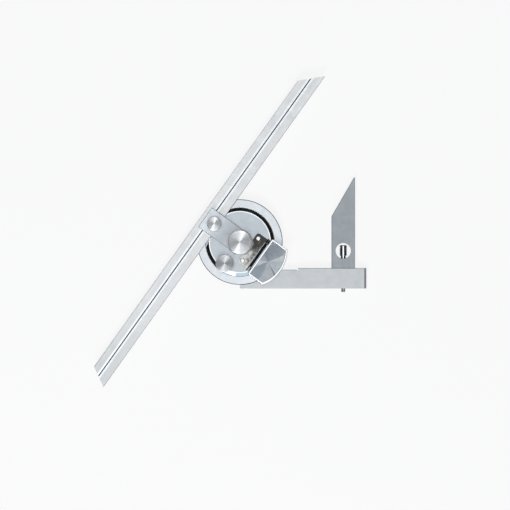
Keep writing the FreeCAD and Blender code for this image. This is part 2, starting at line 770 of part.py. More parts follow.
def make_ring_gear():
    """A rim pressed in the recess. Its inside is the outline of a gear with the same teeth."""
    tip_r = size("ring_pitch_r + gear_dedendum * gear_module")
    root_r = size("ring_pitch_r - gear_addendum * gear_module")
    # A space lies on the turret's -X axis, so that the pinion's tooth there stands in it.
    towards_pinion = math.radians(size("blade_angle")) + math.pi
    space = gear_wire(round(size("ring_teeth")), tip_r, root_r, 0, towards_pinion)
    bottom, height = size("dial_floor"), size("gear_height")
    rim = Part.makeCylinder(size("recess_r"), height, UP * bottom)
    add_shape("ring_gear", rim.cut(lifted(space, bottom, height)))


def make_pinion_shaft():
    tip_r = size("pinion_pitch_r + gear_addendum * gear_module")
    root_r = size("pinion_pitch_r - gear_dedendum * gear_module")
    wire = gear_wire(round(size("pinion_teeth")), tip_r, root_r, size("backlash"), math.pi)
    bottom = size("dial_floor + pinion_lift")
    gear = lifted(wire, bottom, size("gear_top") - bottom)
    shaft_top = size("feed_knob_top - feed_knob_roof - seat_gap")
    shaft = Part.makeCylinder(size("pinion_shaft_r"), shaft_top - bottom, UP * bottom)
    add_shape("pinion_shaft", gear.fuse(shaft).removeSplitter(), "-feed_x", "0", turret=True)


# Turret


def make_swivel_disc():
    body = new_body("swivel_disc", turret=True)
    bore = "stud_r + fit_gap"
    turn(
        body,
        [
            (bore, "hub_bottom"),
            ("hub_r", "hub_bottom"),
            ("hub_r", "flange_bottom"),
            ("disc_edge_r", "flange_bottom"),
            ("disc_edge_r", "ring_face"),
            ("disc_face_r", "disc_top"),
            (bore, "disc_top"),
        ],
    )
    seat = rectangle(
        new_sketch(body, level="disc_top"),
        "-disc_edge_r",
        "disc_edge_r",
        "blade_near - face_gap",
        "disc_edge_r + overrun",
    )
    pocket(body, seat, "disc_top - blade_seat")
    inner = "vernier_inner_r"
    outside = "disc_edge_r / cos(vernier_half_angle)"
    window = outline(
        new_sketch(body, level="disc_top"),
        [
            polar(inner, "-90 + vernier_half_angle"),
            polar(inner, "-90 - vernier_half_angle"),
            polar(outside, "-90 - vernier_half_angle"),
            polar(outside, "-90 + vernier_half_angle"),
        ],
    )
    pocket(body, window, "disc_top - vernier_floor")
    bush_bore = circle(new_sketch(body, level="disc_top"), "-feed_x", "0", "bush_r")
    pocket(body, bush_bore)
    for side in ("-", ""):
        cut_at(body, f"{side}bracket_screw_x", "-bracket_screw_y", bracket_screw(HOLE_GAP))
        cut_at(body, f"{side}arm_screw_x", "arm_screw_y", arm_screw(HOLE_GAP))
        x, y = polar("vernier_screw_circle", f"-90 + {side}vernier_screw_angle")
        cut_at(body, x, y, vernier_screw(HOLE_GAP))


def make_vernier_plate():
    body = new_body("vernier_plate", turret=True)
    inner, outer = "vernier_inner_r + seat_gap", "disc_edge_r"
    half = "(vernier_half_angle - vernier_end_gap)"
    left, right = f"-90 - {half}", f"-90 + {half}"
    plate = outline(
        new_sketch(body, level="vernier_floor"),
        [
            polar(inner, left),
            polar(outer, left) + (outer,),
            polar(outer, right),
            polar(inner, right),
        ],
    )
    pad(body, plate, "vernier_height")
    for side in ("-", ""):
        x, y = polar("vernier_screw_circle", f"-90 + {side}vernier_screw_angle")
        cut_at(body, x, y, vernier_screw(HOLE_GAP))


def make_vernier_screws():
    body = new_body("vernier_screws", turret=True)
    body.AllowCompound = True
    x, y = polar("vernier_screw_circle", "-90 + vernier_screw_angle")
    mirror(body, [screw_at(body, x, y, vernier_screw("0"))])


def make_clamp_arm():
    """A plate on the disc, round about the stud and square over the blade, rebated for the blade."""
    body = new_body("clamp_arm", turret=True)
    half = "arm_width / 2"
    pad(body, circle(new_sketch(body, level="disc_top"), "0", "0", "arm_round_r"), "arm_height")
    plate = rectangle(new_sketch(body, level="disc_top"), f"-{half}", half, "0", "arm_end")
    solid = pad(body, plate, "arm_height")
    doc.recompute()
    top = size("arm_top")
    chamfer(body, solid, lambda edge: at_level(edge, top), "edge_break")
    stud_bore = circle(new_sketch(body, level="arm_top"), "0", "0", "stud_r + fit_gap")
    pocket(body, stud_bore)
    rebate = rectangle(
        new_sketch(body, level="arm_over_blade"),
        "-arm_width",
        "arm_width",
        "blade_near - face_gap",
        "arm_end + overrun",
    )
    pocket(body, rebate, "arm_over_blade - disc_top")
    shoe_room = rectangle(
        new_sketch(body, level="shoe_top + shoe_travel"),
        "-shoe_length / 2 - fit_gap",
        "shoe_length / 2 + fit_gap",
        "shoe_near - fit_gap",
        "shoe_far + fit_gap",
    )
    pocket(body, shoe_room, "shoe_top + shoe_travel - disc_top")
    thread = circle(new_sketch(body, level="arm_top"), "0", "clamp_screw_y", "clamp_screw_r + fit_gap")
    pocket(body, thread)
    for side in ("-", ""):
        cut_at(body, f"{side}arm_screw_x", "arm_screw_y", arm_screw(HOLE_GAP))


def make_arm_screws():
    body = new_body("arm_screws", turret=True)
    body.AllowCompound = True
    mirror(body, [screw_at(body, "arm_screw_x", "arm_screw_y", arm_screw("0"))])


def make_clamp_shoe():
    """A pad that presses the blade down, with a key in the blade's groove."""
    body = new_body("clamp_shoe", turret=True)
    half = "shoe_length / 2"
    shoe = rectangle(new_sketch(body, level="shoe_bottom"), f"-{half}", half, "shoe_near", "shoe_far")
    pad(body, shoe, "shoe_height")
    key_half = "(groove_width / 2 - fit_gap)"
    key = rectangle(
        new_sketch(body, level="shoe_bottom - key_height"),
        f"-{half}",
        half,
        f"groove_middle - {key_half}",
        f"groove_middle + {key_half}",
    )
    pad(body, key, "key_height + shoe_height / 2")


def make_blade_clamp_screw():
    body = new_body("blade_clamp_screw", "0", "clamp_screw_y", turret=True)
    head_top = "clamp_screw_bottom + clamp_head_height"
    neck_top = "clamp_screw_bottom + clamp_neck_height"
    turn(
        body,
        [
            ("0", "shoe_top"),
            ("clamp_screw_r - edge_break", "shoe_top"),
            ("clamp_screw_r", "shoe_top + edge_break"),
            ("clamp_screw_r", "clamp_screw_bottom"),
            ("clamp_neck_r", "clamp_screw_bottom"),
            ("clamp_neck_r", neck_top),
            ("clamp_head_r - knob_chamfer / 2", neck_top),
            ("clamp_head_r", f"{neck_top} + knob_chamfer / 2"),
            ("clamp_head_r", f"{head_top} - knob_chamfer"),
            ("clamp_head_r - knob_chamfer", head_top),
            ("0", head_top),
        ],
    )


def make_blade():
    """Square along its long edge, cut to the two angles at its ends, grooved along its face."""
    body = new_body("blade", turret=True)
    strip = outline(
        new_sketch(body, level="blade_bottom"),
        [
            ("-blade_down", "blade_near"),
            ("blade_up", "blade_near"),
            ("blade_up - blade_width / tan(blade_up_angle)", "blade_far"),
            ("-blade_down + blade_width / tan(blade_down_angle)", "blade_far"),
        ],
    )
    solid = pad(body, strip, "blade_height")
    doc.recompute()
    half_length = size("blade_up + blade_down") / 2
    chamfer(body, solid, lambda edge: edge.Length > half_length, "edge_break")
    groove = rectangle(
        new_sketch(body, level="blade_top"),
        "-blade_down - overrun",
        "blade_up + overrun",
        "groove_middle - groove_width / 2",
        "groove_middle + groove_width / 2",
    )
    pocket(body, groove, "groove_depth")


def make_pinion_bush():
    body = new_body("pinion_bush", "-feed_x", "0", turret=True)
    ring = circle(new_sketch(body, level="flange_bottom"), "0", "0", "bush_r")
    circle(ring, "0", "0", "pinion_shaft_r + fit_gap")
    pad(body, ring, "flange_height")


def make_fine_feed_knob():
    body = new_body("fine_feed_knob", "-feed_x", "0", turret=True)
    neck_top = "feed_knob_bottom + feed_neck_height"
    turn(
        body,
        knob_section(
            "pinion_shaft_r",
            "feed_knob_bottom",
            "feed_knob_top - feed_knob_roof",
            "feed_knob_top",
            "feed_knob_r",
            "feed_neck_r",
            neck_top,
        ),
    )
    grub = circle(new_sketch(body, "XZ_Plane"), "0", "feed_knob_bottom + feed_neck_height / 2", "grub_r")
    pocket(body, grub, "feed_neck_r + overrun")


def make_knob_grub_screw():
    body = new_body("knob_grub_screw", "-feed_x", "0", turret=True)
    grub = circle(
        new_sketch(body, "XZ_Plane", level="-feed_neck_r + edge_break"),
        "0",
        "feed_knob_bottom + feed_neck_height / 2",
        "grub_r",
    )
    pad(body, grub, "feed_neck_r - pinion_shaft_r - edge_break")


# Magnifier


def knuckle(body, start, length):
    """A hinge knuckle from start along the turret's X axis."""
    sketch = circle(new_sketch(body, "YZ_Plane", level=start), "-hinge_y", "hinge_z", "knuckle_r")
    return pad(body, sketch, length)


def hinge_bore(body, gap):
    sketch = circle(new_sketch(body, "YZ_Plane"), "-hinge_y", "hinge_z", f"hinge_rod_r + {gap}")
    return pocket_both_ways(body, sketch)


def make_magnifier_bracket():
    """A plate with a bay for the arm's round end, two ears and a knuckle at each end of its front edge."""
    body = new_body("magnifier_bracket", turret=True)
    half, corner = "bracket_half", "bracket_corner_r"
    bay_x = "sqrt(bracket_bay_r ^ 2 - bracket_near ^ 2)"
    plate = outline(
        new_sketch(body, level="disc_top"),
        [
            (f"-{half}", "-bracket_far"),
            (half, "-bracket_far"),
            (half, f"-bracket_near - {corner}", corner),
            (f"{half} - {corner}", "-bracket_near"),
            (bay_x, "-bracket_near", "-bracket_bay_r"),
            (f"-({bay_x})", "-bracket_near"),
            (f"-{half} + {corner}", "-bracket_near", corner),
            (f"-{half}", f"-bracket_near - {corner}"),
        ],
    )
    pad(body, plate, "bracket_height")
    inner = "(hinge_half - outer_knuckle)"
    for left, right in ((inner, half), (f"-{half}", f"-{inner}")):
        web = new_sketch(body, level="disc_top + knuckle_lift")
        rectangle(web, left, right, "-hinge_y", "-bracket_far + knuckle_r / 2")
        pad(body, web, "bracket_height - knuckle_lift")
    for start in (inner, "-hinge_half"):
        knuckle(body, start, "outer_knuckle")
    hinge_bore(body, "rod_gap")
    for side in ("-", ""):
        cut_at(body, f"{side}bracket_screw_x", "-bracket_screw_y", bracket_screw(HOLE_GAP))


def make_bracket_screws():
    """Pan heads with a cross recess."""
    body = new_body("bracket_screws", turret=True)
    body.AllowCompound = True
    screw = screw_at(body, "bracket_screw_x", "-bracket_screw_y", bracket_screw("0"))
    recesses = []
    for long_x, long_y in (("cross_length", "cross_width"), ("cross_width", "cross_length")):
        slot = rectangle(
            new_sketch(body, level="bracket_top + bracket_head_height"),
            f"bracket_screw_x - {long_x} / 2",
            f"bracket_screw_x + {long_x} / 2",
            f"-bracket_screw_y - {long_y} / 2",
            f"-bracket_screw_y + {long_y} / 2",
        )
        recesses.append(pocket(body, slot, "cross_depth"))
    mirror(body, [screw] + recesses)


def make_hinge_rod():
    body = new_body("hinge_rod", turret=True)
    rod = circle(new_sketch(body, "YZ_Plane"), "-hinge_y", "hinge_z", "hinge_rod_r")
    pad(body, rod, "2 * hinge_half", midplane=True)


def make_hinge_washers():
    body = new_body("hinge_washers", turret=True)
    body.AllowCompound = True
    washer = new_sketch(body, "YZ_Plane", level="inner_knuckle_half + face_gap")
    circle(washer, "-hinge_y", "hinge_z", "knuckle_r")
    circle(washer, "-hinge_y", "hinge_z", "hinge_rod_r + rod_gap")
    mirror(body, [pad(body, washer, "hinge_washer_height - 2 * face_gap")])


def lens_outline(sketch, inset):
    """The magnifier's shape, straight at the hinge and bowed at the far side, drawn in by the inset."""
    half = f"(frame_half - ({inset}))"
    near = f"(-frame_near - ({inset}))"
    # The bow stays concentric with the frame's own, so its ends move along the sides.
    bow_r = "((frame_half ^ 2 + frame_bow ^ 2) / (2 * frame_bow))"
    centre_y = f"(-frame_near - frame_side - frame_bow + {bow_r})"
    inner_r = f"({bow_r} - ({inset}))"
    far = f"({centre_y} - sqrt({inner_r} ^ 2 - {half} ^ 2))"
    return outline(
        sketch,
        [(f"-{half}", near), (f"-{half}", far, inner_r), (half, far), (half, near)],
    )


def make_lens_frame():
    body = new_body("lens_frame", turret=True)
    solid = pad(body, lens_outline(new_sketch(body, level="frame_bottom"), "0"), "frame_height")
    doc.recompute()
    upright = [
        f"Edge{n}"
        for n, edge in enumerate(solid.Shape.Edges, start=1)
        if edge.BoundBox.ZLength > size("frame_height / 2")
    ]
    rounded = body.newObject("PartDesign::Fillet", "lens_frame_fillet")
    rounded.Base = (solid, upright)
    rounded.setExpression("Radius", cell("frame_corner_r"))
    doc.recompute()
    chamfer(body, rounded, lambda edge: at_level(edge, size("frame_bottom + frame_height")), "edge_break")
    sight = lens_outline(new_sketch(body, level="frame_bottom + frame_height"), "frame_wall + ledge_width")
    pocket(body, sight)
    lens_room = lens_outline(new_sketch(body, level="frame_bottom + frame_height"), "frame_wall")
    pocket(body, lens_room, "frame_height - ledge_height")
    web_half = "inner_knuckle_half"
    web = rectangle(
        new_sketch(body, level="frame_bottom"),
        f"-{web_half}",
        web_half,
        "-frame_near - frame_wall / 2",
        "-hinge_y",
    )
    pad(body, web, "knuckle_r")
    knuckle(body, f"-{web_half}", f"2 * {web_half}")
    hinge_bore(body, "fit_gap")


def make_lens():
    """A plate of glass in the frame's shape with a domed top."""
    body = new_body("lens", turret=True)
    plate = lens_outline(new_sketch(body, level="lens_bottom"), "frame_wall + lens_gap")
    pad(body, plate, "lens_edge + lens_rise")
    # The dome runs down to the rim's height at its corners.
    dome_r = "((lens_reach ^ 2 + lens_rise ^ 2) / (2 * lens_rise))"
    ball = doc.addObject("PartDesign::Body", "lens_ball")
    dome = ball.newObject("PartDesign::AdditiveSphere", "lens_dome")
    dome.setExpression("Radius", cell(dome_r))
    dome.setExpression("Placement.Base.y", cell("-lens_middle_y"))
    dome.setExpression("Placement.Base.z", cell(f"lens_bottom + lens_edge + lens_rise - {dome_r}"))
    doc.recompute()
    shared = body.newObject("PartDesign::Boolean", "lens_common")
    shared.setObjects([ball])
    shared.Type = "Common"
    body.Tip = shared


# Acute-angle attachment


def make_acute_attachment():
    body = new_body("acute_attachment")
    shoulder = "stock_top + attachment_shoulder"
    tip = f"{shoulder} + (attachment_width - attachment_blunt) / tan(attachment_angle)"
    bottom = "attachment_z - attachment_height / 2"
    plate = outline(
        new_sketch(body, level=bottom),
        [
            ("attachment_left", "stock_top"),
            ("attachment_right", "stock_top"),
            ("attachment_right", tip),
            ("attachment_right - attachment_blunt", tip),
            ("attachment_left", shoulder),
        ],
    )
    solid = pad(body, plate, "attachment_height")
    width = size("attachment_width")
    chamfer(body, solid, lambda edge: edge.Length > width * LONG_EDGE, "edge_break")
    tongue = rectangle(
        new_sketch(body, level="attachment_z - tongue_height / 2"),
        "attachment_x - tongue_width / 2",
        "attachment_x + tongue_width / 2",
        "stock_top - tongue_length",
        "stock_top + overrun",
    )
    pad(body, tongue, "tongue_height")
    hole = new_sketch(body, level="stock_thickness")
    pocket(body, circle(hole, "attachment_x", "hole_y", "attachment_hole_r"))
    spot = "barrel_neck_r + seat_gap"
    spot_face = rectangle(
        new_sketch(body, level="stock_thickness"),
        f"attachment_x - ({spot})",
        f"attachment_x + ({spot})",
        "barrel_seat",
        "hole_y",
    )
    pocket(body, spot_face)
    bore = new_sketch(body, "XZ_Plane", level="-hole_y")
    pocket(body, circle(bore, "attachment_x", "attachment_z", "bolt_r + seat_gap"), reverse=True)


def turned_along_y(body, corners):
    """A section drawn as (radius, y), turned about the body's own Y axis at the attachment's height."""
    return turn(body, corners, plane="XY_Plane", level="attachment_z")


def make_attachment_bolt():
    body = new_body("attachment_bolt", "attachment_x", "0")
    seat = "bolt_seat_depth - stock_drop - face_gap"
    turned_along_y(
        body,
        [
            ("0", f"{seat} - bolt_head_height"),
            ("bolt_head_r - edge_break", f"{seat} - bolt_head_height"),
            ("bolt_head_r", f"{seat} - bolt_head_height + edge_break"),
            ("bolt_head_r", seat),
            ("bolt_r", seat),
            ("bolt_r", "barrel_top - barrel_roof - face_gap"),
            ("0", "barrel_top - barrel_roof - face_gap"),
        ],
    )


def make_barrel_nut():
    body = new_body("barrel_nut", "attachment_x", "0")
    seat = "barrel_seat + face_gap"
    bore = "bolt_r + fit_gap"
    turned_along_y(
        body,
        [
            (bore, seat),
            ("barrel_neck_r", seat),
            ("barrel_neck_r", "barrel_bottom"),
            ("barrel_r", "barrel_bottom"),
            ("barrel_r", "barrel_top - knob_chamfer"),
            ("barrel_r - knob_chamfer", "barrel_top"),
            ("0", "barrel_top"),
            ("0", "barrel_top - barrel_roof"),
            (bore, "barrel_top - barrel_roof"),
        ],
    )


for make in (
    make_stock,
    make_dial_body,
    make_stock_screws,
    make_ring_gear,
    make_pivot_stud,
    make_thrust_washer,
    make_lock_washer,
    make_centre_lock_nut,
    make_swivel_disc,
    make_vernier_plate,
    make_vernier_screws,
    make_clamp_arm,
    make_arm_screws,
    make_clamp_shoe,
    make_blade_clamp_screw,
    make_blade,
    make_pinion_bush,
    make_pinion_shaft,
    make_fine_feed_knob,
    make_knob_grub_screw,
    make_magnifier_bracket,
    make_bracket_screws,
    make_hinge_rod,
    make_hinge_washers,
    make_lens_frame,
    make_lens,
    make_acute_attachment,
    make_attachment_bolt,
    make_barrel_nut,
):
    make()

doc.recompute()
for item in doc.Objects:
    if "Invalid" in item.State or "Error" in item.State:
        raise RuntimeError(f"{item.Name} failed: {item.State}")
os.makedirs("parts", exist_ok=True)
for node in nodes:
    if node.Shape.isNull() or not node.Shape.isValid():
        raise RuntimeError(f"{node.Label} has no valid shape")
    node.Shape.exportStep(f"parts/{node.Label}.step")
    print(node.Label, len(node.Shape.Solids), round(node.Shape.Volume, 1))
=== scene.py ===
import json
import math

import bpy
from mathutils import Matrix, Vector


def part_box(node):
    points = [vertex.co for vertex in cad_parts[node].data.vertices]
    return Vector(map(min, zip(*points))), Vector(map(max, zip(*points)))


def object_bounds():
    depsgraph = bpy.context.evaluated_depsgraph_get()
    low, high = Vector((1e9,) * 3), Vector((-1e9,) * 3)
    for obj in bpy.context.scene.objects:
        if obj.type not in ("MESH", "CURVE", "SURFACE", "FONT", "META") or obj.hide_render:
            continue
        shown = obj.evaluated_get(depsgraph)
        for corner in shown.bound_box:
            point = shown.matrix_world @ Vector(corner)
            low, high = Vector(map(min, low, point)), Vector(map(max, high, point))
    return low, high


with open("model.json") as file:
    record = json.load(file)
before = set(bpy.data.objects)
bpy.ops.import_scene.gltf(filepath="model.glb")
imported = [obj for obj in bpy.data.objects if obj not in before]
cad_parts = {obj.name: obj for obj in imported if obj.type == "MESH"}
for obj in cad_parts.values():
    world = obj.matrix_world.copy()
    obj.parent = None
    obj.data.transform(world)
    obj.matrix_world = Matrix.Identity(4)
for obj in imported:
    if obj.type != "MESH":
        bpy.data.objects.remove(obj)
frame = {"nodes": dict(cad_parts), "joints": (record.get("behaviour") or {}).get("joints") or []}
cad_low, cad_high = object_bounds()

# The looks of a bevel protractor. Lengths are in metres; MM turns millimetres into them.
# The CAD shapes stay as they are: this script gives them light, a floor and their finishes.

MM = 0.001
UP = Vector((0, 0, 1))
nodes = frame["nodes"]
joints = {joint["name"]: joint for joint in frame["joints"]}
blade_way = Vector(joints["blade_slide"]["axis"])
blade_angle = math.atan2(blade_way.y, blade_way.x)
turret = Matrix.Rotation(blade_angle, 4, "Z")
feed_axis = Vector(joints["fine_feed_turn"]["pos_m"])
clamp_axis = Vector(joints["clamp_screw_turn"]["pos_m"])
hinge_axis = Vector(joints["magnifier_flip"]["pos_m"])


def top_of(node):
    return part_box(node)[1].z


def reach_of(node):
    """The largest radius of a round node about the swivel axis."""
    return max(vertex.co.xy.length for vertex in nodes[node].data.vertices)


# Camera, world, lamps and floor

CAMERA_HEIGHT = 1.6
VIEW_WIDTH = 401.4 * MM
VIEW_MIDDLE = Vector((11.9 * MM, -10.2 * MM, 0))
SENSOR = 36.0


def make_camera():
    data = bpy.data.cameras.new("camera")
    data.sensor_width = SENSOR
    data.lens = SENSOR * (CAMERA_HEIGHT - top_of("dial_body")) / VIEW_WIDTH
    data.clip_end = 20
    camera = bpy.data.objects.new("camera", data)
    camera.location = VIEW_MIDDLE + UP * CAMERA_HEIGHT
    bpy.context.scene.collection.objects.link(camera)
    bpy.context.scene.camera = camera


class Graph:
    """Adds nodes to a shader tree. An input is a number, a colour, a vector or another node's output."""

    def __init__(self, tree):
        self.tree = tree
        tree.nodes.clear()

    def node(self, kind, settings=(), **inputs):
        made = self.tree.nodes.new(kind)
        for name, value in dict(settings).items():
            setattr(made, name, value)
        for name, value in inputs.items():
            self.feed(made.inputs[name.replace("_", " ")], value)
        return made

    def feed(self, socket, value):
        if isinstance(value, bpy.types.NodeSocket):
            self.tree.links.new(value, socket)
        else:
            socket.default_value = value

    def math(self, operation, *values):
        made = self.tree.nodes.new("ShaderNodeMath")
        made.operation = operation
        for socket, value in zip(made.inputs, values):
            self.feed(socket, value)
        return made.outputs[0]

    def step(self, value, start, end, low=0.0, high=1.0, kind="SMOOTHSTEP"):
        """low before start, high after end, and smooth between them."""
        made = self.tree.nodes.new("ShaderNodeMapRange")
        made.interpolation_type = kind
        for socket, number in zip(made.inputs, (value, start, end, low, high)):
            self.feed(socket, number)
        return made.outputs[0]

    def mix(self, factor, first, second, blend="MIX"):
        made = self.tree.nodes.new("ShaderNodeMix")
        made.data_type = "RGBA"
        made.blend_type = blend
        self.feed(made.inputs[0], factor)
        self.feed(made.inputs[6], first)
        self.feed(made.inputs[7], second)
        return made.outputs[2]

    def vector(self, operation, *values):
        made = self.tree.nodes.new("ShaderNodeVectorMath")
        made.operation = operation
        for socket, value in zip(made.inputs, values):
            self.feed(socket, value)
        scalar = operation in ("LENGTH", "DOT_PRODUCT", "DISTANCE")
        return made.outputs[1] if scalar else made.outputs[0]

    def split(self, vector):
        made = self.tree.nodes.new("ShaderNodeSeparateXYZ")
        self.feed(made.inputs[0], vector)
        return made.outputs

    def noise(self, vector, scale, detail=3.0, roughness=0.55):
        made = self.tree.nodes.new("ShaderNodeTexNoise")
        self.feed(made.inputs["Vector"], vector)
        made.inputs["Scale"].default_value = scale
        made.inputs["Detail"].default_value = detail
        made.inputs["Roughness"].default_value = roughness
        return made.outputs[0]


def srgb(level, warmth=0.0):
    """A grey of the given 8-bit level as a linear colour.

    warmth tips it to yellow, or to blue when negative."""
    channels = [level * (1 + warmth), level, level * (1 - warmth)]
    return [min((value / 255) ** 2.2, 1.0) for value in channels] + [1.0]


STRIP_ANGLE = math.radians(105)  # way of the bright strip, from +X
STRIP_EDGE = (0.2, 0.5)  # where it fades, as sines of the angle to its side
BACK_EDGE = (0.42, 0.72)  # where it ends behind the object, in the same way
SKY_BRIGHT = 1.3
SKY_DARK = 0.02


def make_world():
    """A studio tent seen by metal: a bright strip overhead, dark at its sides and low down behind."""
    world = bpy.data.worlds.new("studio")
    bpy.context.scene.world = world
    world.use_nodes = True
    graph = Graph(world.node_tree)
    way = graph.node("ShaderNodeTexCoord").outputs["Generated"]
    across = graph.vector("DOT_PRODUCT", way, (math.sin(STRIP_ANGLE), -math.cos(STRIP_ANGLE), 0))
    along = graph.vector("DOT_PRODUCT", way, (math.cos(STRIP_ANGLE), math.sin(STRIP_ANGLE), 0))
    strip = graph.step(graph.math("ABSOLUTE", across), *STRIP_EDGE, 1, 0)
    behind = graph.step(along, *BACK_EDGE, 1, 0)
    lit = graph.math("MULTIPLY", strip, behind)
    level = graph.math("MULTIPLY_ADD", lit, SKY_BRIGHT - SKY_DARK, SKY_DARK)
    light_colour = graph.mix(lit, (0.78, 0.9, 1.0, 1), (0.97, 0.99, 1.0, 1))
    tent = graph.node("ShaderNodeBackground", Color=light_colour, Strength=level)
    plain = graph.node("ShaderNodeBackground", Color=(1, 1, 1, 1), Strength=1.0)
    rays = graph.node("ShaderNodeLightPath").outputs
    seen = graph.math("MAXIMUM", rays["Is Camera Ray"], rays["Is Transmission Ray"])
    choice = graph.tree.nodes.new("ShaderNodeMixShader")
    graph.feed(choice.inputs[0], seen)
    graph.feed(choice.inputs[1], tent.outputs[0])
    graph.feed(choice.inputs[2], plain.outputs[0])
    out = graph.tree.nodes.new("ShaderNodeOutputWorld")
    graph.feed(out.inputs[0], choice.outputs[0])


KEY_PLACE = (-0.36, -0.98, 1.15)
KEY_SIZE = 0.45
KEY_POWER = 8.0


def make_lamp(name, place, size, power):
    """A soft square lamp that faces the middle of the object."""
    data = bpy.data.lights.new(name, "AREA")
    data.size = size
    data.energy = power
    lamp = bpy.data.objects.new(name, data)
    lamp.location = place
    lamp.rotation_euler = (-Vector(place)).to_track_quat("-Z", "Y").to_euler()
    bpy.context.scene.collection.objects.link(lamp)


FLOOR_SIZE = 3.0
FLOOR_GAP = 0.02 * MM
FLOOR_SHADE = 0.14  # share of the floor's look that takes light and shadow


def make_floor():
    mesh = bpy.data.meshes.new("floor")
    half = FLOOR_SIZE / 2
    corners = [(-half, -half, 0), (half, -half, 0), (half, half, 0), (-half, half, 0)]
    mesh.from_pydata(corners, [], [(0, 1, 2, 3)])
    floor = bpy.data.objects.new("floor", mesh)
    floor.location.z = cad_low.z - FLOOR_GAP
    bpy.context.scene.collection.objects.link(floor)
    material = bpy.data.materials.new("floor_paper")
    material.use_nodes = True
    graph = Graph(material.node_tree)
    spot = graph.node("ShaderNodeTexCoord").outputs["Object"]
    paper = graph.mix(graph.noise(spot, 9.0), (0.93, 0.93, 0.93, 1), (0.95, 0.95, 0.95, 1))
    lit = graph.node("ShaderNodeBsdfDiffuse", Color=paper)
    white = graph.node("ShaderNodeEmission", Color=(1, 1, 1, 1), Strength=1.0)
    rays = graph.node("ShaderNodeLightPath").outputs
    seen = graph.math("MAXIMUM", rays["Is Camera Ray"], rays["Is Glossy Ray"])
    seen = graph.math("MAXIMUM", seen, rays["Is Transmission Ray"])
    choice = graph.tree.nodes.new("ShaderNodeMixShader")
    graph.feed(choice.inputs[0], graph.math("MULTIPLY", seen, 1 - FLOOR_SHADE))
    graph.feed(choice.inputs[1], lit.outputs[0])
    graph.feed(choice.inputs[2], white.outputs[0])
    out = graph.tree.nodes.new("ShaderNodeOutputMaterial")
    graph.feed(out.inputs[0], choice.outputs[0])
    mesh.materials.append(material)


make_camera()
make_world()
make_lamp("key", KEY_PLACE, KEY_SIZE, KEY_POWER)
make_floor()
bpy.context.scene.view_settings.view_transform = "Standard"


# Materials. Noise scales are in cells a metre.

CLOUD_SCALE = 90.0
SMEAR_SCALE = 260.0
TOOTH_SCALE = 5200.0
RING_SCALE = 6500.0
# Colour of the painted highlight along rounded edges
EDGE_HIGHLIGHT = (0.93, 0.95, 0.97, 1)
BUMP_DEPTH = 0.02 * MM


